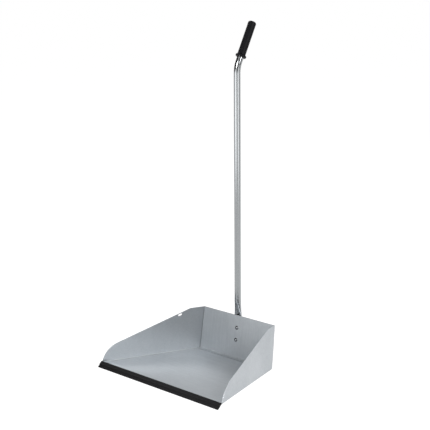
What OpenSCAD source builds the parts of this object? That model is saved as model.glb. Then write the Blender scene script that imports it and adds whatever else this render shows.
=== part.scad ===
// Long-handled sheet-metal dust pan with a rubber lip.
// The origin is under the middle of the whole object, on the ground. +Z is up, and the mouth faces -Y.

/* [Pan] */
// Outer width across the side walls at the mouth
mouth_w = 482; // [400:1:560]
// Outer width across the side walls at the rear fold
rear_w = 290; // [240:1:360]
// Length of the floor sheet from front edge to rear edge
floor_len = 310; // [260:1:360]
// Height of the walls above the underside of the floor
wall_h = 128.5; // [110:0.5:150]
// Thickness of the galvanised sheet
sheet_t = 0.8; // [0.6:0.1:1.2]
// Angle by which the back panel leans away from square to the floor
back_lean = 5.9; // [2:0.1:12]
// Slope of the side walls' long top edges
wall_slope = 17.4; // [14:0.1:20]
// Length of the level stretch at the rear of the side walls' top edges
level_len = 48.5; // [30:0.5:70]
// Radius of the curve at the front of each side wall
nose_r = 72; // [50:1:90]
// Outside radius of the folds
fold_r = 4; // [2:0.1:5]
// Depth of the flattened hem along the back panel's top edge
hem_depth = 8; // [6:0.5:8.5]
// Length of the hanging slot in the left wall
slot_len = 13; // [11:0.5:18]
// Width of the hanging slot
slot_w = 5.5; // [5:0.1:6.5]

/* [Lip] */
// Width of the rubber lip
lip_w = 480; // [398:1:558]
// How far the lip stands out in front of the floor sheet
lip_reach = 15; // [12:0.5:20]
// Thickness of the lip where it is clamped
lip_t = 3; // [2.5:0.1:4]
// Height of the floor's front edge above the ground
front_lift = 10; // [8:0.5:12]
// Width of the flat where the lip touches the ground
foot_w = 3.2; // [2:0.1:4]

/* [Handle] */
// Outside diameter of the tube
tube_d = 19; // [16:0.5:22]
// Wall thickness of the tube
tube_wall = 1.2; // [1:0.1:2]
// Distance from the rear edge of the floor back to the tube's axis
tube_gap = 16.2; // [15:0.1:18]
// How far the handle stands to the right of the pan's middle
handle_x = -2.5; // [-5:0.5:5]
// Height at which the tube's bend starts
bend_z = 837; // [600:1:900]
// Angle of the bend
bend_a = 27.9; // [15:0.1:35]
// Radius of the bend along the tube's axis
bend_r = 75; // [60:1:100]
// Outside diameter of the grip
grip_d = 23.6; // [22:0.1:28]
// Length of the grip
grip_len = 109; // [90:1:130]
// Outside diameter of the grip's collar
collar_d = 31.5; // [28:0.5:36]

/* [Fixing] */
// Distance between the two foot screws
screw_pitch = 36; // [30:1:40]
// Distance of the lower screw above the rear edge of the floor, along the back panel
screw_low = 55.5; // [50:0.5:58]
// Diameter of the screws
screw_d = 6; // [5:0.5:6]

/* [Hidden] */
$fn = 96;
big = 1000;
thin = 0.5;

// Pan
tilt = asin(front_lift / floor_len);
side_a = atan((mouth_w - rear_w) / 2 / floor_len);
wall_t_x = sheet_t / cos(side_a);
wall_len = floor_len / cos(side_a);
top_shift = wall_h * tan(back_lean) / cos(side_a);
wall_top_len = wall_len + top_shift;
vertex_u = wall_top_len - level_len;
tangent_u = nose_r * (1 - sin(wall_slope));
nose_z = wall_h - (vertex_u - nose_r) * tan(wall_slope) - nose_r / cos(wall_slope);
wall_over = 0.5;
corner_cut = 0.5;
lap = 1;
nose_start = nose_r - sqrt(nose_r * nose_r - (lap + fold_r - nose_z) * (lap + fold_r - nose_z));
panel_h = wall_h / cos(back_lean);
flange_depth = 8;
fold_steps = 10;
fit_clear = 0.1;
relief_len = 5;
relief_u = 5;
relief_h = 2.5;
tab_w = 14;
tab_z0 = fold_r + corner_cut;
tab_z1 = 92;
slot_u = vertex_u - 35;
slot_drop = 5.3;

// Lip
clamp_depth = 13;
clamp_flange = 11;
root_depth = 12;
lip_tip = 0.5;
lip_bulge = 1.6;
lip_crown = 0.9;
lip_under = 0.4;
lip_set = 0.6;
lip_clear = 0.3;

// Handle
foot_t = 2 * tube_wall + 0.2;
foot_half_w = 14.5;
foot_z0 = 38;
foot_z1 = 101;
foot_corner_r = 6;
pinch_z = panel_h + 1;
pinch_shift = -2.5;
pinch_half_w = 12.5;
pinch_front = 1.25;
pinch_rear = 6;
pinch_sag = 3.2;
scoop_z = 168;
bore_end_y = 5.5;
bore_end_z = 147;
ring_step = 0.04;
round_z = 172;
cap_r = 5.5;
grip_start = 12;
grip_floor = 8;
collar_t = 7;
rib_count = 18;
rib_h = 0.4;

// Fixing
head_d = 12;
head_h = 3.6;
recess_d = 4.4;
recess_w = 1.2;
recess_depth = 1.6;
washer_d = 12;
washer_t = 1.6;
nut_af = 10;
nut_t = 5;
screw_end = foot_t + washer_t + nut_t + 1.5;
hole_play = 0.4;

// Where things stand along Y, measured back from the front of the lip
rear_off = lip_reach + floor_len * cos(tilt);
tube_off = rear_off + tube_gap;
grip_end = grip_start + grip_len;
depth = tube_off + bend_r * (1 - cos(bend_a)) + (grip_end - cap_r) * sin(bend_a)
        + (grip_d / 2 - cap_r) * cos(bend_a) + cap_r;
front_y = -depth / 2;
rear_y = front_y + rear_off;
tube_y = front_y + tube_off;

// Points on an arc from p to q that bulges to the left of the line by sag
function arc_points(p, q, sag, n) =
    let (d = q - p, len = norm(d), left = [-d[1], d[0]] / len,
         r = (len * len / 4 + sag * sag) / (2 * sag), c = (p + q) / 2 - left * (r - sag),
         half = asin(len / 2 / r), mid = atan2(left[1], left[0]))
    [for (k = [0:n]) c + r * [cos(mid + half * (1 - 2 * k / n)), sin(mid + half * (1 - 2 * k / n))]];

// Half width inside or outside the side walls at a height along the leaning back panel
function panel_half(z, inset) = rear_w / 2 - z * sin(back_lean) * tan(side_a) - inset;

// The pan's own frame: its floor is level there, and its rear lower edge is the X axis
module in_pan() {
    translate([0, rear_y, 0])
        rotate([-tilt, 0, 0])
            children();
}

// The back panel's frame: its rear face is the XZ plane, with +Y pointing out of the pan
module on_back() {
    in_pan()
        rotate([-back_lean, 0, 0])
            children();
}

// The right side wall's frame: +Y runs to the rear along its lower edge, and +X points outwards
module on_side() {
    translate([mouth_w / 2, -floor_len, 0])
        rotate([0, 0, side_a])
            children();
}

module both_sides() {
    children();
    mirror([1, 0, 0])
        children();
}

// Stands a shape drawn in X and height upright, with its thickness from y = 0 to y = t
module upright(t) {
    translate([0, t, 0])
        rotate([90, 0, 0])
            linear_extrude(t)
                children();
}

// Extrudes a shape drawn in Y and height across the full width w
module across(w) {
    translate([-w / 2, 0, 0])
        rotate([90, 0, 90])
            linear_extrude(w)
                children();
}

// Outline of a side wall in the plane of the wall, above the fold
module wall_outline() {
    line_z0 = wall_h - vertex_u * tan(wall_slope);
    lean_u = tan(back_lean) / cos(side_a);
    rear_u = wall_len + wall_over;
    intersection() {
        polygon([[0, fold_r], [0, line_z0], [vertex_u, wall_h], [rear_u + wall_h * lean_u, wall_h],
                 [rear_u + tab_z0 * lean_u, tab_z0], [wall_len - corner_cut, fold_r]]);
        union() {
            translate([nose_r, nose_z])
                circle(nose_r);
            translate([tangent_u, 0])
                square([big, big]);
        }
    }
}

// Section of the fold between the floor and a side wall, with a short flat run on both sides
module fold_section() {
    intersection() {
        translate([-fold_r, fold_r])
            difference() {
                circle(fold_r);
                circle(fold_r - sheet_t);
            }
        translate([-fold_r, 0])
            square(fold_r);
    }
    translate([-fold_r - lap, 0])
        square([lap, sheet_t]);
    translate([-sheet_t, fold_r])
        square([sheet_t, lap]);
}

module side_wall() {
    on_side()
        difference() {
            union() {
                translate([-sheet_t, 0, 0])
                    rotate([90, 0, 90])
                        linear_extrude(sheet_t)
                            wall_outline();
                translate([0, nose_start, 0])
                    upright(wall_len - corner_cut - nose_start)
                        fold_section();
            }
            translate([-2 * fold_r, relief_u, -1])
                cube([3 * fold_r, relief_len, relief_h + 1]);
        }
}

module hanging_slot() {
    edge_z = wall_h - (vertex_u - slot_u) * tan(wall_slope);
    mirror([1, 0, 0])
        on_side()
            translate([0, slot_u, edge_z - slot_drop / cos(wall_slope)])
                rotate([wall_slope, 0, 0])
                    rotate([0, 90, 0])
                        for (end = [-1, 1])
                            slot_half(end);
}

// One round end of the slot and half of its straight part
module slot_half(end) {
    straight = (slot_len - slot_w) / 2;
    translate([0, end * straight, -sheet_t - 1])
        cylinder(h = sheet_t + 2, d = slot_w);
    translate([-slot_w / 2, min(0, end * straight), -sheet_t - 1])
        cube([slot_w, straight, sheet_t + 2]);
}

module tray_sheet() {
    floor_in = fold_r / cos(side_a);
    color([0.72, 0.74, 0.76])
        in_pan()
            difference() {
                union() {
                    linear_extrude(sheet_t)
                        polygon([[-mouth_w / 2 + floor_in, -floor_len], [mouth_w / 2 - floor_in, -floor_len],
                                 [rear_w / 2 - floor_in, 0], [-rear_w / 2 + floor_in, 0]]);
                    both_sides()
                        side_wall();
                    both_sides()
                        rear_tab();
                }
                hanging_slot();
            }
}

// Tab folded in from a side wall, behind the back panel
module rear_tab() {
    rotate([-back_lean, 0, 0])
        upright(sheet_t)
            polygon([[panel_half(tab_z0, tab_w), tab_z0], [panel_half(tab_z0, 0), tab_z0],
                     [panel_half(tab_z1, 0), tab_z1], [panel_half(tab_z1, tab_w), tab_z1]]);
}

// A point given by its distance behind the back panel's rear face and its height along the panel
function on_panel(y, h) =
    [y * cos(back_lean) + h * sin(back_lean), h * cos(back_lean) - y * sin(back_lean)];

// Points around the rear fold at a radius, taken in the given order
function rear_fold(r, order) =
    let (z = sheet_t + fold_r, y = (z * sin(back_lean) - fold_r) / cos(back_lean),
         step = (90 - back_lean) / fold_steps)
    [for (k = order) [y + r * cos(k * step - 90), z + r * sin(k * step - 90)]];

// Section of the back panel: floor flange, fold, leaning panel and the hem turned down behind it
module panel_section() {
    hem_h = panel_h - hem_depth;
    outer = rear_fold(fold_r, [0:fold_steps]);
    inner = rear_fold(fold_r - sheet_t, [fold_steps:-1:0]);
    flange_y = outer[0][0] - flange_depth;
    polygon(concat([[flange_y, 2 * sheet_t], [flange_y, sheet_t]], outer,
                   [on_panel(0, hem_h), on_panel(sheet_t, hem_h)],
                   [on_panel(sheet_t, panel_h), on_panel(-sheet_t, panel_h)], inner));
}

module back_panel() {
    color([0.66, 0.68, 0.71])
        difference() {
            in_pan()
                intersection() {
                    across(mouth_w)
                        panel_section();
                    pan_room(fit_clear);
                }
            screw_holes(screw_d + hole_play);
        }
}

// The space between the side walls, seen from above, kept clear of them by a margin
module inside_plan(clear) {
    front = mouth_w / 2 - wall_t_x - clear;
    taper = tan(side_a);
    polygon([[-front - lap * taper, -floor_len - lap], [front + lap * taper, -floor_len - lap],
             [front - (floor_len + wall_h) * taper, wall_h],
             [-front + (floor_len + wall_h) * taper, wall_h]]);
}

// The space inside the pan, rounded along its bottom edges to clear the folds by a margin
module pan_room(clear) {
    difference() {
        linear_extrude(2 * wall_h)
            inside_plan(clear);
        both_sides()
            on_side()
                translate([0, -2 * lap, 0])
                    upright(wall_top_len)
                        difference() {
                            translate([-fold_r, -lap])
                                square(fold_r + lap);
                            translate([-fold_r, fold_r])
                                circle(fold_r - sheet_t - clear);
                        }
    }
}

module lip_clamp() {
    top = sheet_t + lip_t;
    color([0.74, 0.76, 0.78])
        in_pan()
            intersection() {
                across(mouth_w)
                    translate([-floor_len, 0])
                        polygon([[0, top], [clamp_depth - sheet_t, top], [clamp_depth - sheet_t, sheet_t],
                                 [clamp_depth + clamp_flange, sheet_t],
                                 [clamp_depth + clamp_flange, 2 * sheet_t], [clamp_depth, 2 * sheet_t],
                                 [clamp_depth, top + sheet_t], [0, top + sheet_t]]);
                pan_room(lip_clear);
            }
}

// Section of the lip's blade as it stands on the ground, measured from its front edge
module blade_section() {
    shoulder_z = front_lift + 2 * sheet_t + lip_t + lip_crown;
    polygon(concat(arc_points([0, lip_tip], [lip_reach, shoulder_z], lip_bulge, 10),
                   [[lip_reach + lap, shoulder_z], [lip_reach + lap, front_lift + lip_under],
                    [lip_reach - lip_set, front_lift + lip_under], [foot_w, 0], [0, 0]]));
}

module rubber_lip() {
    color([0.09, 0.09, 0.10]) {
        in_pan()
            intersection() {
                across(lip_w)
                    translate([-floor_len - lap, sheet_t])
                        square([root_depth + lap, lip_t]);
                linear_extrude(wall_h)
                    inside_plan(lip_clear + fold_r);
            }
        difference() {
            translate([0, front_y, 0])
                across(lip_w)
                    blade_section();
            in_pan()
                translate([-big / 2, -floor_len, -big / 2])
                    cube([big, big, big]);
        }
    }
}

// The round run of the tube above its foot: straight, bend, and straight again into the grip
module tube_run() {
    top_len = grip_end - grip_floor;
    translate([handle_x, tube_y, round_z])
        linear_extrude(bend_z - round_z)
            tube_ring(0);
    translate([handle_x, tube_y + bend_r, bend_z])
        rotate([90, 0, -90])
            rotate_extrude(angle = bend_a)
                translate([bend_r, 0])
                    tube_ring(ring_step);
    at_bend_end()
        linear_extrude(top_len)
            tube_ring(0);
}

// Section of the tube, drawn in a little at both faces so that stretches meet on a clean edge
module tube_ring(draw_in) {
    difference() {
        circle(d = tube_d - draw_in);
        circle(d = tube_d - 2 * tube_wall + draw_in);
    }
}

// Frame at the end of the bend, with +Z along the upper part of the tube
module at_bend_end() {
    translate([handle_x, tube_y + bend_r * (1 - cos(bend_a)), bend_z + bend_r * sin(bend_a)])
        rotate([-bend_a, 0, 0])
            children();
}

// A thin level slice of the tube, which the pressed foot starts from
module round_slice(d, h) {
    translate([handle_x, tube_y, round_z - thin])
        cylinder(h = h, d = d, $fn = 48);
}

// A thin slice through the pressed tube behind the panel's top edge: flat in front, round behind
module pinch_slice(front, rear, half_w) {
    mid = rear - pinch_sag / 6;
    side = rear - pinch_sag / 2;
    on_back()
        translate([handle_x + pinch_shift, 0, pinch_z])
            linear_extrude(thin)
                polygon([[-half_w, front], [half_w, front], [half_w, rear - pinch_sag],
                         [0.8 * half_w, side], [0.4 * half_w, mid], [0, rear],
                         [-0.4 * half_w, mid], [-0.8 * half_w, side], [-half_w, rear - pinch_sag]]);
}

// A thin slice across the top of the flat foot
module plate_slice(front, rear, half_w) {
    on_back()
        translate([handle_x - half_w, front, foot_z1 - thin])
            cube([2 * half_w, rear - front, thin]);
}

// The hollow where the tube's front has been pushed back into its rear half
module scoop() {
    hull() {
        translate([handle_x, tube_y - tube_d / 2, scoop_z])
            rotate([0, 90, 0])
                cylinder(h = thin, d = thin, $fn = 12, center = true);
        pinch_slice(-tube_d, pinch_rear - foot_t, pinch_half_w - tube_wall);
    }
    hull() {
        pinch_slice(pinch_front - thin, pinch_rear - foot_t, pinch_half_w - tube_wall);
        plate_slice(-2 * thin, -thin, foot_half_w / 2);
    }
}

module foot_plate() {
    on_back()
        upright(foot_t)
            difference() {
                translate([handle_x - foot_half_w, foot_z0])
                    square([2 * foot_half_w, foot_z1 - foot_z0]);
                for (side = [-1, 1])
                    translate([handle_x + side * foot_half_w, foot_z0])
                        corner_waste();
            }
}

// What is taken off a square corner to leave a round one
module corner_waste() {
    difference() {
        square(2 * foot_corner_r, center = true);
        for (side = [-1, 1])
            translate([side * foot_corner_r, foot_corner_r])
                circle(foot_corner_r);
    }
}

// The tube's lower end: its front half is pressed back into its rear half, then both are flattened
module pressed_foot() {
    difference() {
        union() {
            foot_plate();
            hull() {
                round_slice(tube_d - ring_step, thin);
                pinch_slice(pinch_front, pinch_rear, pinch_half_w);
            }
            hull() {
                pinch_slice(pinch_front, pinch_rear, pinch_half_w);
                plate_slice(0, foot_t, foot_half_w);
            }
        }
        scoop();
        hull() {
            round_slice(tube_d - 2 * tube_wall + 3 * ring_step, 2 * thin);
            translate([handle_x, tube_y + bore_end_y, bore_end_z])
                cylinder(h = thin, d = tube_wall, $fn = 12);
        }
        screw_holes(screw_d + hole_play);
    }
}

module handle_tube() {
    color([0.75, 0.76, 0.78]) {
        tube_run();
        pressed_foot();
    }
}

// Half section of the grip: closed round end, collar at the mouth, and shallow ribs
module grip_section() {
    r = grip_d / 2;
    pitch = (grip_len - collar_t - 2 * cap_r) / rib_count;
    difference() {
        union() {
            square([r - cap_r, grip_len]);
            square([r, grip_len - cap_r]);
            translate([r - cap_r, grip_len - cap_r])
                circle(cap_r);
            square([collar_d / 2 - collar_t / 2, collar_t]);
            translate([collar_d / 2 - collar_t / 2, collar_t / 2])
                circle(d = collar_t);
        }
        for (k = [1:rib_count - 1])
            translate([r - rib_h, collar_t + cap_r / 2 + k * pitch])
                square([1, pitch / 3]);
        translate([0, -1])
            square([tube_d / 2, grip_len - grip_floor + 1]);
    }
}

module hand_grip() {
    color([0.07, 0.07, 0.08])
        at_bend_end()
            translate([0, 0, grip_start])
                rotate_extrude()
                    grip_section();
}

// Puts its children on the axis of each foot screw, with +Z pointing out of the back panel
module at_screws() {
    on_back()
        for (k = [0, 1])
            translate([handle_x, 0, screw_low + k * screw_pitch])
                rotate([-90, 0, 0])
                    children();
}

module screw_holes(d) {
    at_screws()
        translate([0, 0, -screw_end])
            cylinder(h = 2 * screw_end, d = d);
}

module foot_screws() {
    color([0.62, 0.64, 0.66])
        at_screws() {
            translate([0, 0, -sheet_t])
                cylinder(h = screw_end + sheet_t, d = screw_d);
            translate([0, 0, -sheet_t])
                mirror([0, 0, 1])
                    difference() {
                        rotate_extrude()
                            head_section();
                        translate([0, 0, head_h - recess_depth])
                            cross_recess();
                    }
        }
}

// Half section of a domed head, flat side down
module head_section() {
    dome_r = (head_d * head_d / 4 + head_h * head_h) / (2 * head_h);
    intersection() {
        translate([0, head_h - dome_r])
            circle(dome_r);
        square([head_d / 2, head_h]);
    }
}

module cross_recess() {
    for (a = [0, 90])
        rotate([0, 0, a])
            translate([-recess_d / 2, -recess_w / 2, 0])
                cube([recess_d, recess_w, head_h]);
}

module foot_washers() {
    color([0.68, 0.70, 0.72])
        at_screws()
            translate([0, 0, foot_t])
                difference() {
                    cylinder(h = washer_t, d = washer_d);
                    translate([0, 0, -1])
                        cylinder(h = washer_t + 2, d = screw_d + hole_play);
                }
}

module foot_nuts() {
    color([0.66, 0.68, 0.70])
        at_screws()
            translate([0, 0, foot_t + washer_t])
                difference() {
                    cylinder(h = nut_t, d = nut_af / cos(30), $fn = 6);
                    translate([0, 0, -1])
                        cylinder(h = nut_t + 2, d = screw_d);
                }
}

tray_sheet();
back_panel();
lip_clamp();
rubber_lip();
handle_tube();
hand_grip();
foot_screws();
foot_washers();
foot_nuts();
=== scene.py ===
"""Long-handled galvanised dust pan: looks, floor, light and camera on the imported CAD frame."""
import math

import bmesh
import bpy
from mathutils import Matrix, Vector


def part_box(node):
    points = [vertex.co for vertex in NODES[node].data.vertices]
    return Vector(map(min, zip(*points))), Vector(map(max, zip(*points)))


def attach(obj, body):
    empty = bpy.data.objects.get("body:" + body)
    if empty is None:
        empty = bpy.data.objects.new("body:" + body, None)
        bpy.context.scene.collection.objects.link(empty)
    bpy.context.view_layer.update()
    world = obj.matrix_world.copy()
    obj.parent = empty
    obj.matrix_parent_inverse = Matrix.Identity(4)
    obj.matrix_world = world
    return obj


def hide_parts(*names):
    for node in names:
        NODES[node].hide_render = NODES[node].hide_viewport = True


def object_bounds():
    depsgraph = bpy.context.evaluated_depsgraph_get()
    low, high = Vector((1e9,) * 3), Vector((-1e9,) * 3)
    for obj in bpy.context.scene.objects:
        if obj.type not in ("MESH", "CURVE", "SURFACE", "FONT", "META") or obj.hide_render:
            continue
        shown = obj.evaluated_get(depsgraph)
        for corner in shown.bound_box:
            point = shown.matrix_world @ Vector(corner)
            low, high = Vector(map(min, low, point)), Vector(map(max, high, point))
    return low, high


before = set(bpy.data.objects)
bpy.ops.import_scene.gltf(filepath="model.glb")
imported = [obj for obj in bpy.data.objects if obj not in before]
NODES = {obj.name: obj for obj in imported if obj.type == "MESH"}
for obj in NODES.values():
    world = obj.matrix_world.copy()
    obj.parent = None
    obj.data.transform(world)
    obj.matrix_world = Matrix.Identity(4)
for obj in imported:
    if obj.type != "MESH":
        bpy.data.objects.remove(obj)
CAD_LOW, CAD_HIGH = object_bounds()
MM = 0.001

# Sizes and places that the CAD source states, in millimetres. Y is measured from the lip's front edge.
LIP_REACH = 15.0
FLOOR_LEN = 310.0
FRONT_LIFT = 10.0
BACK_LEAN = 5.9
TUBE_GAP = 16.2
TUBE_R = 9.5
ROUND_Z = 172.0
BEND_Z = 837.0
BEND_A = 27.9
BEND_R = 75.0
GRIP_START = 12.0
GRIP_LEN = 109.0
GRIP_R = 11.8
GRIP_FLOOR = 8.0
COLLAR_R = 15.75
COLLAR_T = 7.0
CAP_R = 5.5
FOOT_HALF_W = 14.5
FOOT_T = 2.6
FOOT_Z0 = 38.0
FOOT_Z1 = 101.0
FOOT_CORNER_R = 6.0
PINCH_H = 130.2

# Sizes of these pieces only, in millimetres, tuned to the photograph: the grip's diamonds, and how far the
# pressed part reaches to each side, which is a little wider than its CAD solid
DIAMONDS = 16
DIAMOND_PITCH = 2.9
RELIEF = 0.34
PINCH_LEFT = 16.6
PINCH_RIGHT = 11.2

TILT = math.degrees(math.asin(FRONT_LIFT / FLOOR_LEN))
FRONT_Y = CAD_LOW.y / MM
REAR_Y = FRONT_Y + LIP_REACH + FLOOR_LEN * math.cos(math.radians(TILT))
PANEL_LEAN = TILT + BACK_LEAN
GRIP_LOW, GRIP_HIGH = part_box("hand_grip")
HANDLE_X = (GRIP_LOW.x + GRIP_HIGH.x) / 2 / MM
TUBE_Y = REAR_Y + TUBE_GAP

# Angles in degrees: flats are merged below the first, edges rounded above the second, shading split above
# the third
FLAT_ANGLE = 0.4
EDGE_ANGLE = 30.0
SHADE_ANGLE = 50.0

# ---------------------------------------------------------------- mesh helpers


def smooth(t):
    """0 below 0, 1 above 1, and an S-curve between."""
    t = min(1.0, max(0.0, t))
    return t * t * (3 - 2 * t)


def mix(a, b, t):
    """The value a share t of the way from a to b."""
    return a + (b - a) * t


def mesh_object(name, bm, mat, node, angle):
    """Turns a bmesh in millimetres into a piece that stands for a CAD node."""
    bmesh.ops.recalc_face_normals(bm, faces=bm.faces)
    bmesh.ops.scale(bm, vec=(MM, MM, MM), verts=bm.verts)
    finish_piece(name, bm, mat, node, angle)


def finish_piece(name, bm, mat, node, angle):
    """Writes a bmesh in metres out as a smooth-shaded piece with sharp edges above an angle."""
    mesh = bpy.data.meshes.new(name)
    limit = math.radians(angle)
    for face in bm.faces:
        face.smooth = True
    for edge in bm.edges:
        edge.smooth = len(edge.link_faces) == 2 and edge.calc_face_angle(0.0) < limit
    bm.to_mesh(mesh)
    bm.free()
    mesh.materials.append(mat)
    obj = bpy.data.objects.new(name, mesh)
    bpy.context.scene.collection.objects.link(obj)
    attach(obj, "root")
    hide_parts(node)
    return obj


def loft(bm, rings):
    """Skins a list of closed rings that all have the same number of points, and closes both ends."""
    made = [[bm.verts.new(p) for p in ring] for ring in rings]
    count = len(made[0])
    for low, high in zip(made, made[1:]):
        for i in range(count):
            j = (i + 1) % count
            bm.faces.new((low[i], low[j], high[j], high[i]))
    bm.faces.new(list(reversed(made[0])))
    bm.faces.new(made[-1])


def refined(name, node, mat, bevel):
    """A copy of a CAD node with merged flats and a fine rounding, in millimetres, along its sharp edges."""
    bm = bmesh.new()
    bm.from_mesh(NODES[node].data)
    bmesh.ops.remove_doubles(bm, verts=bm.verts, dist=1e-6)
    bmesh.ops.dissolve_limit(bm, angle_limit=math.radians(FLAT_ANGLE), verts=bm.verts, edges=bm.edges)
    limit = math.radians(EDGE_ANGLE)
    sharp = [e for e in bm.edges if len(e.link_faces) == 2 and e.calc_face_angle(0.0) > limit]
    bmesh.ops.bevel(bm, geom=sharp, offset=bevel * MM, segments=2, profile=0.5,
                    affect="EDGES", clamp_overlap=True)
    bmesh.ops.recalc_face_normals(bm, faces=bm.faces)
    obj = finish_piece(name, bm, mat, node, SHADE_ANGLE)
    flats = obj.modifiers.new("flats", "WEIGHTED_NORMAL")
    flats.keep_sharp = True


# ---------------------------------------------------------------- material helpers


# Sockets of a colour Mix node, which share their names with those for other data types
COLOUR_FACTOR, COLOUR_A, COLOUR_B, COLOUR_RESULT = 0, 6, 7, 2


def new_material(name):
    """A material with an empty node tree, and its shader."""
    mat = bpy.data.materials.new(name)
    mat.use_nodes = True
    tree = mat.node_tree
    return mat, tree, tree.nodes["Principled BSDF"]


def add(tree, kind, **values):
    """A node with its properties or input values set by name."""
    node = tree.nodes.new(kind)
    for key, value in values.items():
        if key in node.inputs:
            node.inputs[key].default_value = value
        else:
            setattr(node, key, value)
    return node


def ramp(tree, source, stops):
    """A colour ramp on a value, from (position, colour) pairs."""
    node = tree.nodes.new("ShaderNodeValToRGB")
    elements = node.color_ramp.elements
    while len(elements) < len(stops):
        elements.new(0.5)
    for element, (position, colour) in zip(elements, stops):
        element.position = position
        element.color = (*colour, 1.0)
    tree.links.new(source, node.inputs["Fac"])
    return node.outputs["Color"]


def stretched_coords(tree, scale):
    """Object coordinates, squeezed so that a texture runs long in one direction."""
    mapping = add(tree, "ShaderNodeMapping")
    mapping.inputs["Scale"].default_value = scale
    tree.links.new(tree.nodes.new("ShaderNodeTexCoord").outputs["Object"], mapping.inputs["Vector"])
    return mapping.outputs["Vector"]


def noise(tree, coords, scale, detail=3.0, roughness=0.5):
    """The value of a noise texture on some coordinates."""
    node = add(tree, "ShaderNodeTexNoise", Scale=scale, Detail=detail, Roughness=roughness)
    tree.links.new(coords, node.inputs["Vector"])
    return node.outputs["Fac"]


def blend_values(tree, a, b, share):
    """a and b mixed, with this share of b."""
    node = tree.nodes.new("ShaderNodeMix")
    node.data_type = "FLOAT"
    node.inputs["Factor"].default_value = share
    tree.links.new(a, node.inputs["A"])
    tree.links.new(b, node.inputs["B"])
    return node.outputs["Result"]


def map_range(tree, value, start, end, low, high):
    """A value that goes from low to high as the source goes from start to end."""
    node = add(tree, "ShaderNodeMapRange")
    for key, number in (("From Min", start), ("From Max", end), ("To Min", low), ("To Max", high)):
        node.inputs[key].default_value = number
    tree.links.new(value, node.inputs["Value"])
    return node.outputs["Result"]


def remap(tree, value, low, high):
    """A noise value's usual range, 0.3 to 0.7, spread from low to high."""
    return map_range(tree, value, 0.3, 0.7, low, high)


def mixed_colours(tree, kind, factor, a, b):
    """A colour mix node of a blend type, with its factor and two colours given as links or plain values."""
    node = tree.nodes.new("ShaderNodeMix")
    node.data_type = "RGBA"
    node.blend_type = kind
    for socket, source in zip((COLOUR_FACTOR, COLOUR_A, COLOUR_B), (factor, a, b)):
        if isinstance(source, bpy.types.NodeSocket):
            tree.links.new(source, node.inputs[socket])
        else:
            node.inputs[socket].default_value = source
    return node.outputs[COLOUR_RESULT]


def bumps(tree, shader, layers):
    """Chains bump layers, each (height, strength, distance in metres), into the shader's normal."""
    last = None
    for height, strength, distance in layers:
        node = add(tree, "ShaderNodeBump", Strength=strength, Distance=distance)
        tree.links.new(height, node.inputs["Height"])
        if last:
            tree.links.new(last, node.inputs["Normal"])
        last = node.outputs["Normal"]
    tree.links.new(last, shader.inputs["Normal"])


# ---------------------------------------------------------------- materials

# Reach in metres and deepest tone of the painted shade in creases and joints, which also stands for the dirt
# there
CREASE_SHADE_REACH = 0.006
CREASE_SHADE_TONE = 0.5
# Colour of the painted highlight on the tube's pressed foot, and the height in millimetres below which it is
# at full strength
FOOT_HIGHLIGHT_COLOUR = (0.46, 0.47, 0.48, 1.0)
FOOT_HIGHLIGHT_Z = 140.0

def crease_shade_and_dirt(tree, colour, reach, floor_value):
    """Darkens a colour inside creases and along joints, where they look dark, by how hidden they are:
    painted shade, together with the dirt that gathers there.
    """
    hidden = add(tree, "ShaderNodeAmbientOcclusion", Distance=reach)
    hidden.samples = 16
    level = map_range(tree, hidden.outputs["AO"], 0.5, 0.92, floor_value, 1.0)
    return mixed_colours(tree, "MULTIPLY", 1.0, colour, level)


def galvanised(name, rolled, base, dark, rough_low, rough_high):
    """Rolled zinc-coated sheet: a faint spangle of crystals, cloudy patches and fine rolling lines."""
    mat, tree, shader = new_material(name)
    coords = stretched_coords(tree, (1.0, 1.0, 1.0))
    spangle = add(tree, "ShaderNodeTexVoronoi", Scale=110.0)
    tree.links.new(coords, spangle.inputs["Vector"])
    crystal = add(tree, "ShaderNodeSeparateColor")
    tree.links.new(spangle.outputs["Color"], crystal.inputs["Color"])
    clouds = noise(tree, coords, 9.0, 4.0, 0.55)
    rolling = noise(tree, stretched_coords(tree, rolled), 9.0, 5.0, 0.6)
    tone = blend_values(tree, blend_values(tree, clouds, crystal.outputs["Red"], 0.12), rolling, 0.45)
    colour = ramp(tree, tone, [(0.3, dark), (0.7, base)])
    # Painted shade, with dirt, darkens the sheet's colour in its creases and along its joints
    tree.links.new(crease_shade_and_dirt(tree, colour, CREASE_SHADE_REACH, CREASE_SHADE_TONE), shader.inputs["Base Color"])
    tree.links.new(remap(tree, tone, rough_high, rough_low), shader.inputs["Roughness"])
    shader.inputs["Metallic"].default_value = 0.7
    waves = noise(tree, coords, 11.0, 1.0)
    grain = noise(tree, coords, 1400.0, 2.0)
    bumps(tree, shader, [(waves, 0.12, 0.004), (rolling, 0.06, 0.0004), (grain, 0.05, 0.0002)])
    return mat


def painted_foot_highlight(tree, colour):
    """Lightens the tube's pressed lower end: a painted highlight, tuned to the bright band that light draws
    along it.
    """
    place = tree.nodes.new("ShaderNodeSeparateXYZ")
    tree.links.new(tree.nodes.new("ShaderNodeTexCoord").outputs["Object"], place.inputs["Vector"])
    share = map_range(tree, place.outputs["Z"], ROUND_Z * MM, FOOT_HIGHLIGHT_Z * MM, 0.0, 1.0)
    return mixed_colours(tree, "MIX", share, colour, FOOT_HIGHLIGHT_COLOUR)


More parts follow.
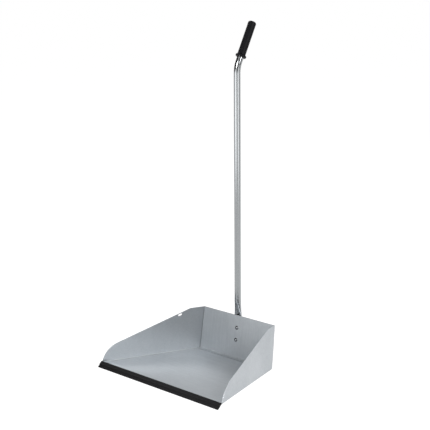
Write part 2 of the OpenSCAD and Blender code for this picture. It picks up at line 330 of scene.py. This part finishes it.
def drawn_zinc(name, base, dark, rough_low, rough_high):
    """Bright zinc plating on a drawn tube: long streaks along its length and a few cloudy patches."""
    mat, tree, shader = new_material(name)
    streaks = noise(tree, stretched_coords(tree, (1.0, 1.0, 0.006)), 420.0, 1.0, 0.4)
    clouds = noise(tree, stretched_coords(tree, (1.0, 1.0, 0.2)), 22.0, 2.0, 0.5)
    tone = blend_values(tree, streaks, clouds, 0.4)
    colour = ramp(tree, tone, [(0.3, dark), (0.7, base)])
    # The pressed foot's colour is lightened towards its bottom: a painted highlight
    tree.links.new(painted_foot_highlight(tree, colour), shader.inputs["Base Color"])
    tree.links.new(remap(tree, tone, rough_high, rough_low), shader.inputs["Roughness"])
    shader.inputs["Metallic"].default_value = 1.0
    bumps(tree, shader, [(clouds, 0.03, 0.0003)])
    return mat


def plated(name, base, dark):
    """Zinc-plated fastener: slight colour variation and tiny tool marks."""
    mat, tree, shader = new_material(name)
    coords = stretched_coords(tree, (1.0, 1.0, 1.0))
    tone = noise(tree, coords, 260.0, 4.0, 0.6)
    tree.links.new(ramp(tree, tone, [(0.3, dark), (0.7, base)]), shader.inputs["Base Color"])
    tree.links.new(remap(tree, tone, 0.32, 0.2), shader.inputs["Roughness"])
    shader.inputs["Metallic"].default_value = 1.0
    bumps(tree, shader, [(noise(tree, coords, 1600.0, 2.0), 0.1, 0.0001)])
    return mat


def black(name, colour, light, rough, gloss, scale, strength):
    """Black rubber or PVC with a fine uneven surface and slight dusting."""
    mat, tree, shader = new_material(name)
    coords = stretched_coords(tree, (1.0, 1.0, 1.0))
    fine = noise(tree, coords, scale, 5.0, 0.6)
    patches = noise(tree, coords, 28.0, 4.0, 0.55)
    tone = blend_values(tree, fine, patches, 0.5)
    tree.links.new(ramp(tree, tone, [(0.35, colour), (0.7, light)]), shader.inputs["Base Color"])
    tree.links.new(remap(tree, tone, rough - 0.05, rough + 0.08), shader.inputs["Roughness"])
    shader.inputs["Specular IOR Level"].default_value = gloss
    bumps(tree, shader, [(fine, strength, 0.0003)])
    return mat


ALONG_X = (1.0, 26.0, 26.0)
UPRIGHT = (26.0, 1.0, 1.0)
ZINC = (0.505, 0.532, 0.555)
SHEET = galvanised("galvanised_sheet", ALONG_X, ZINC, (0.415, 0.442, 0.468), 0.34, 0.46)
PANEL = galvanised("galvanised_panel", UPRIGHT, ZINC, (0.4, 0.427, 0.453), 0.34, 0.46)
TUBE = drawn_zinc("zinc_tube", (0.37, 0.382, 0.39), (0.26, 0.272, 0.28), 0.22, 0.235)
FASTENER = plated("plated_fastener", (0.26, 0.265, 0.275), (0.15, 0.155, 0.165))
RUBBER = black("rubber", (0.003, 0.003, 0.0035), (0.008, 0.008, 0.009), 0.62, 0.2, 500.0, 0.2)
GRIP = black("grip_pvc", (0.0015, 0.0015, 0.0025), (0.004, 0.004, 0.0055), 0.5, 0.13, 700.0, 0.15)

# ---------------------------------------------------------------- handle tube

TUBE_POINTS = 72
PRESSED_STEPS = 14
RUN_STEPS = 12
BEND_STEPS = 20


def panel_frame(h, y):
    """(Y, Z) of a point given by its height along the back panel and its distance behind it."""
    a = math.radians(PANEL_LEAN)
    return REAR_Y + h * math.sin(a) + y * math.cos(a), h * math.cos(a) - y * math.sin(a)


def tube_section(place, lean, shape):
    """A closed section of the tube, drawn across a line that leans by an angle.

    shape is (left, right, rear, front, dent, spread, square): its reach to each side, to the rear and to the
    front, how deep its front is pressed in and over what share of its width, and how square it is."""
    left, right, rear, front, dent, spread, square = shape
    a = math.radians(lean)
    ring = []
    for k in range(TUBE_POINTS):
        phi = 2 * math.pi * k / TUBE_POINTS
        c, s = math.cos(phi), math.sin(phi)
        across = math.copysign(abs(c) ** (2.0 / square), c)
        along = abs(s) ** (2.0 / square)
        y = rear * along
        if s <= 0:
            y = dent * math.exp(-(across / spread) ** 2) * along ** 0.5 - front * along
        x = across * (right if c > 0 else left)
        ring.append((HANDLE_X + x, place[0] + y * math.cos(a), place[1] - y * math.sin(a)))
    return ring


def mixed(a, b, t):
    """Two section shapes blended."""
    return tuple(mix(p, q, t) for p, q in zip(a, b))


ROUND = (TUBE_R, TUBE_R, TUBE_R, TUBE_R, 0.0, 0.25, 2.0)
FLAT = (FOOT_HALF_W, FOOT_HALF_W, FOOT_T / 2, FOOT_T / 2, 0.0, 0.6, 7.0)
PINCHED = (PINCH_LEFT, PINCH_RIGHT, 4.2, 2.6, 4.2, 0.6, 2.3)
PINCH_Y = 2.9


def plate_rings():
    """The flat foot, from its rounded lower end up to where it starts to swell."""
    rings = []
    for d in (0.05, 0.4, 1.2, 2.4, 4.0, 6.0, 25.0, 45.0, FOOT_Z1 - FOOT_Z0):
        inside = max(0.0, FOOT_CORNER_R - d)
        half = FOOT_HALF_W - FOOT_CORNER_R + math.sqrt(FOOT_CORNER_R ** 2 - inside ** 2)
        thick = FOOT_T / 2 * min(1.0, 0.55 + d / 1.5)
        shape = (half, half, thick, thick) + FLAT[4:]
        rings.append(tube_section(panel_frame(FOOT_Z0 + d, FOOT_T / 2), PANEL_LEAN, shape))
    return rings


def pressed_rings():
    """The stretch where the flat foot opens through a dented section into the round tube."""
    rings = []
    for k in range(1, PRESSED_STEPS + 1):
        t = k / PRESSED_STEPS
        place = panel_frame(mix(FOOT_Z1, PINCH_H, t), mix(FOOT_T / 2, PINCH_Y, smooth(t)))
        rings.append(tube_section(place, PANEL_LEAN, mixed(FLAT, PINCHED, smooth(t))))
    low = panel_frame(PINCH_H, PINCH_Y)
    for k in range(1, 2 * PRESSED_STEPS + 1):
        t = k / (2 * PRESSED_STEPS)
        place = (mix(low[0], TUBE_Y, t), mix(low[1], ROUND_Z, t))
        rings.append(tube_section(place, PANEL_LEAN * (1 - t), mixed(PINCHED, ROUND, t)))
    return rings


def run_rings():
    """The round run: straight up, around the bend and into the grip."""
    rings = []
    for k in range(1, RUN_STEPS + 1):
        rings.append(tube_section((TUBE_Y, mix(ROUND_Z, BEND_Z, k / RUN_STEPS)), 0.0, ROUND))
    for k in range(1, BEND_STEPS + 1):
        a = math.radians(BEND_A * k / BEND_STEPS)
        place = (TUBE_Y + BEND_R * (1 - math.cos(a)), BEND_Z + BEND_R * math.sin(a))
        rings.append(tube_section(place, math.degrees(a), ROUND))
    for length in (GRIP_START, GRIP_START + GRIP_LEN - GRIP_FLOOR - 0.5):
        y, z = along_grip(length)
        rings.append(tube_section((y, z), BEND_A, ROUND))
    return rings


def along_grip(length):
    """(Y, Z) on the tube's axis, past the bend by a length."""
    a = math.radians(BEND_A)
    return (TUBE_Y + BEND_R * (1 - math.cos(a)) + length * math.sin(a),
            BEND_Z + BEND_R * math.sin(a) + length * math.cos(a))


def make_tube():
    """The whole tube as one skin, from its flat foot to its end inside the grip."""
    bm = bmesh.new()
    loft(bm, plate_rings() + pressed_rings() + run_rings())
    mesh_object("handle_tube_skin", bm, TUBE, "handle_tube", 40.0)


# ---------------------------------------------------------------- grip

GRIP_POINTS = 128
GRIP_ROWS = 130


def grip_profile():
    """(radius, length, textured) along the grip from its mouth, over the collar, to the closed end."""
    out = [(TUBE_R + 0.05, 1.2, 0.0), (TUBE_R + 0.8, 0.15, 0.0)]
    half = COLLAR_T / 2
    for k in range(0, 13):
        a = math.pi * (k / 12 - 0.5)
        out.append((COLLAR_R - half + half * math.cos(a), half + half * math.sin(a), 0.0))
    out += [(GRIP_R + 0.35, COLLAR_T + 0.1, 0.0), (GRIP_R - 0.1, COLLAR_T + 1.0, 0.0)]
    start, end = COLLAR_T + 3.0, GRIP_LEN - CAP_R - 2.0
    for k in range(GRIP_ROWS + 1):
        out.append((GRIP_R, mix(start, end, k / GRIP_ROWS), 1.0))
    for k in range(0, 11):
        a = math.pi / 2 * k / 10
        out.append((GRIP_R - CAP_R + CAP_R * math.cos(a), GRIP_LEN - CAP_R + CAP_R * math.sin(a), 0.0))
    out.append((2.0, GRIP_LEN, 0.0))
    return out


def grip_point(radius, length, phi):
    """A point on the grip at a radius, a length from its mouth and an angle around its axis."""
    a = math.radians(BEND_A)
    y, z = along_grip(GRIP_START + length)
    r = radius * math.sin(phi)
    return (HANDLE_X + radius * math.cos(phi), y + r * math.cos(a), z - r * math.sin(a))


def diamond_relief(length, phi):
    """Depth of the fine diamond pattern, fading out at both of its ends."""
    around = phi * DIAMONDS / math.pi
    along = length / DIAMOND_PITCH
    depth = 0.5 + 0.5 * math.sin(math.pi * (around + along)) * math.sin(math.pi * (around - along))
    fade = smooth((length - COLLAR_T - 3.0) / 3.0) * smooth((GRIP_LEN - CAP_R - 2.0 - length) / 3.0)
    return RELIEF * depth * fade


def make_grip():
    """Moulded PVC grip with a fine diamond relief between two smooth bands."""
    bm = bmesh.new()
    rings = []
    for radius, length, textured in grip_profile():
        ring = []
        for k in range(GRIP_POINTS):
            phi = 2 * math.pi * k / GRIP_POINTS
            relief = diamond_relief(length, phi) if textured else 0.0
            ring.append(grip_point(radius - relief, length, phi))
        rings.append(ring)
    loft(bm, rings)
    mesh_object("hand_grip_skin", bm, GRIP, "hand_grip", 60.0)


# ---------------------------------------------------------------- rubber lip


# The blade's outline: top edge, upper band, ridge, groove, lower band, ground edge and underside
LIP_FRONT = [(15.1, 15.35), (14.7, 15.5), (14.1, 15.42), (13.4, 15.05), (10.9, 13.0), (8.6, 11.1),
             (7.7, 10.4), (7.0, 10.15), (6.45, 9.85), (6.15, 9.3), (6.2, 8.75), (6.6, 8.4), (6.75, 8.0),
             (6.45, 7.5), (3.4, 4.5), (1.1, 2.1), (0.35, 1.2), (0.02, 0.6), (0.12, 0.15), (0.5, 0.0)]
LIP_BACK = [(2.9, 0.0), (3.4, 0.15), (14.4, 10.35), (15.1, 10.4)]
LIP_ROOT = [(14.6, 10.9), (14.6, 13.75), (26.9, 13.35), (26.9, 10.5)]
LIP_HALF_W = 240.0
ROOT_HALF_W = 235.0
END_LEN = 0.3
END_DRAW_IN = 0.05


def lip_ring(outline, x, draw_in):
    """The outline at x, drawn in towards its middle, so that the ends are softly rounded."""
    mid_y = sum(p[0] for p in outline) / len(outline)
    mid_z = sum(p[1] for p in outline) / len(outline)
    return [(x, FRONT_Y + mix(y, mid_y, draw_in), mix(z, mid_z, draw_in)) for y, z in outline]


def make_lip():
    """Moulded rubber strip: two sloping bands with a ridge and groove between, and a clamped root."""
    bm = bmesh.new()
    for outline, half in ((LIP_FRONT + LIP_BACK, LIP_HALF_W), (LIP_ROOT, ROOT_HALF_W)):
        rings = [lip_ring(outline, -half, END_DRAW_IN), lip_ring(outline, -half + END_LEN, 0.0)]
        rings += [lip_ring(outline, half - END_LEN, 0.0), lip_ring(outline, half, END_DRAW_IN)]
        loft(bm, rings)
    mesh_object("rubber_lip_skin", bm, RUBBER, "rubber_lip", 48.0)


make_tube()
make_grip()
make_lip()
refined("tray_sheet_skin", "tray_sheet", SHEET, 0.18)
refined("back_panel_skin", "back_panel", PANEL, 0.18)
refined("lip_clamp_skin", "lip_clamp", SHEET, 0.15)
refined("foot_screws_skin", "foot_screws", FASTENER, 0.12)
refined("foot_washers_skin", "foot_washers", FASTENER, 0.15)
refined("foot_nuts_skin", "foot_nuts", FASTENER, 0.2)

# ---------------------------------------------------------------- floor, light and camera


# name, heading from +X, height angle, power in watts
SOFTBOXES = [("box_right", 0, 35, 58.0), ("box_right_rear", 25, 35, 22.0),
             ("box_front", 275, 35, 80.0), ("box_left", 160, 35, 38.0),
             ("box_left_high", 160, 60, 12.0), ("box_rear", 120, 35, 22.0)]
# name, heading, width in metres, power
PANELS = [("panel_front", 262, 1.2, 5.8), ("panel_right", 352, 0.8, 3.2)]
BOX_DISTANCE = 4.0
BOX_SIZE = (1.4, 1.4)
PANEL_DISTANCE = 1.2
PANEL_HEIGHT = 0.72
PANEL_Z = 0.68
FLOOR_HALF = 90.0


def make_floor():
    """A plain pale floor, wide enough to fill every view."""
    mesh = bpy.data.meshes.new("floor")
    h = FLOOR_HALF
    mesh.from_pydata([(-h, -h, 0), (h, -h, 0), (h, h, 0), (-h, h, 0)], [], [(0, 1, 2, 3)])
    floor = bpy.data.objects.new("floor", mesh)
    bpy.context.scene.collection.objects.link(floor)
    mat, _, shader = new_material("floor_white")
    shader.inputs["Base Color"].default_value = (0.15, 0.15, 0.15, 1.0)
    shader.inputs["Roughness"].default_value = 0.9
    shader.inputs["Specular IOR Level"].default_value = 0.0
    shader.inputs["Emission Color"].default_value = (1.0, 1.0, 1.0, 1.0)
    shader.inputs["Emission Strength"].default_value = 1.0
    mat.cycles.emission_sampling = "NONE"
    mesh.materials.append(mat)


def area_light(name, place, target, size, power):
    """An area light of a width and height that looks at a point and is itself never seen."""
    data = bpy.data.lights.new(name, "AREA")
    data.shape = "RECTANGLE"
    data.size, data.size_y = size
    data.energy = power
    lamp = bpy.data.objects.new(name, data)
    bpy.context.scene.collection.objects.link(lamp)
    lamp.location = place
    lamp.rotation_euler = (Vector(target) - Vector(place)).to_track_quat("-Z", "Y").to_euler()
    lamp.visible_camera = False


def around(target, azimuth, elevation, distance):
    """The point at a heading, a height angle and a distance from a target."""
    a, e = math.radians(azimuth), math.radians(elevation)
    heading = Vector((math.cos(a) * math.cos(e), math.sin(a) * math.cos(e), math.sin(e)))
    return Vector(target) + distance * heading


def make_lights():
    """Softboxes all round the pan, and two near panels that draw the tube's highlights."""
    middle = (0.0, 0.0, 0.35)
    for name, azimuth, elevation, power in SOFTBOXES:
        area_light(name, around(middle, azimuth, elevation, BOX_DISTANCE), middle, BOX_SIZE, power)
    tube = (HANDLE_X * MM, TUBE_Y * MM, PANEL_Z)
    for name, azimuth, width, power in PANELS:
        area_light(name, around(tube, azimuth, 0.0, PANEL_DISTANCE), tube, (width, PANEL_HEIGHT), power)


def make_world():
    """A white backdrop beyond the floor, which is seen but gives no light."""
    world = bpy.data.worlds.new("studio")
    world.use_nodes = True
    back = world.node_tree.nodes["Background"]
    back.inputs["Color"].default_value = (1.0, 1.0, 1.0, 1.0)
    back.inputs["Strength"].default_value = 1.0
    bpy.context.scene.world = world
    for kind in ("diffuse", "glossy", "transmission", "scatter"):
        setattr(world.cycles_visibility, kind, False)


def make_camera(place, yaw, pitch, roll, lens):
    """A camera with its heading, its tilt below the horizon and its roll in degrees."""
    a, b, c = (math.radians(v) for v in (yaw, pitch, roll))
    ahead = Vector((-math.sin(a) * math.cos(b), math.cos(a) * math.cos(b), -math.sin(b)))
    flat = Vector((math.cos(a), math.sin(a), 0.0))
    level = flat.cross(ahead)
    right = flat * math.cos(c) + level * math.sin(c)
    up = level * math.cos(c) - flat * math.sin(c)
    data = bpy.data.cameras.new("camera")
    data.lens = lens
    data.sensor_width = 36.0
    data.clip_end = 400.0
    cam = bpy.data.objects.new("camera", data)
    bpy.context.scene.collection.objects.link(cam)
    turn = Matrix((right, up, -ahead)).transposed()
    cam.matrix_world = Matrix.Translation(place) @ turn.to_4x4()
    bpy.context.scene.camera = cam


# Solved from the photograph's straight edges, with Y measured from the lip's front edge
CAMERA_PLACE = Vector((2.12255, -1.95449 + FRONT_Y * MM, 1.10394))

make_floor()
make_world()
make_lights()
make_camera(CAMERA_PLACE, yaw=43.982, pitch=12.138, roll=-0.423, lens=92.685)
bpy.context.scene.view_settings.view_transform = "Standard"
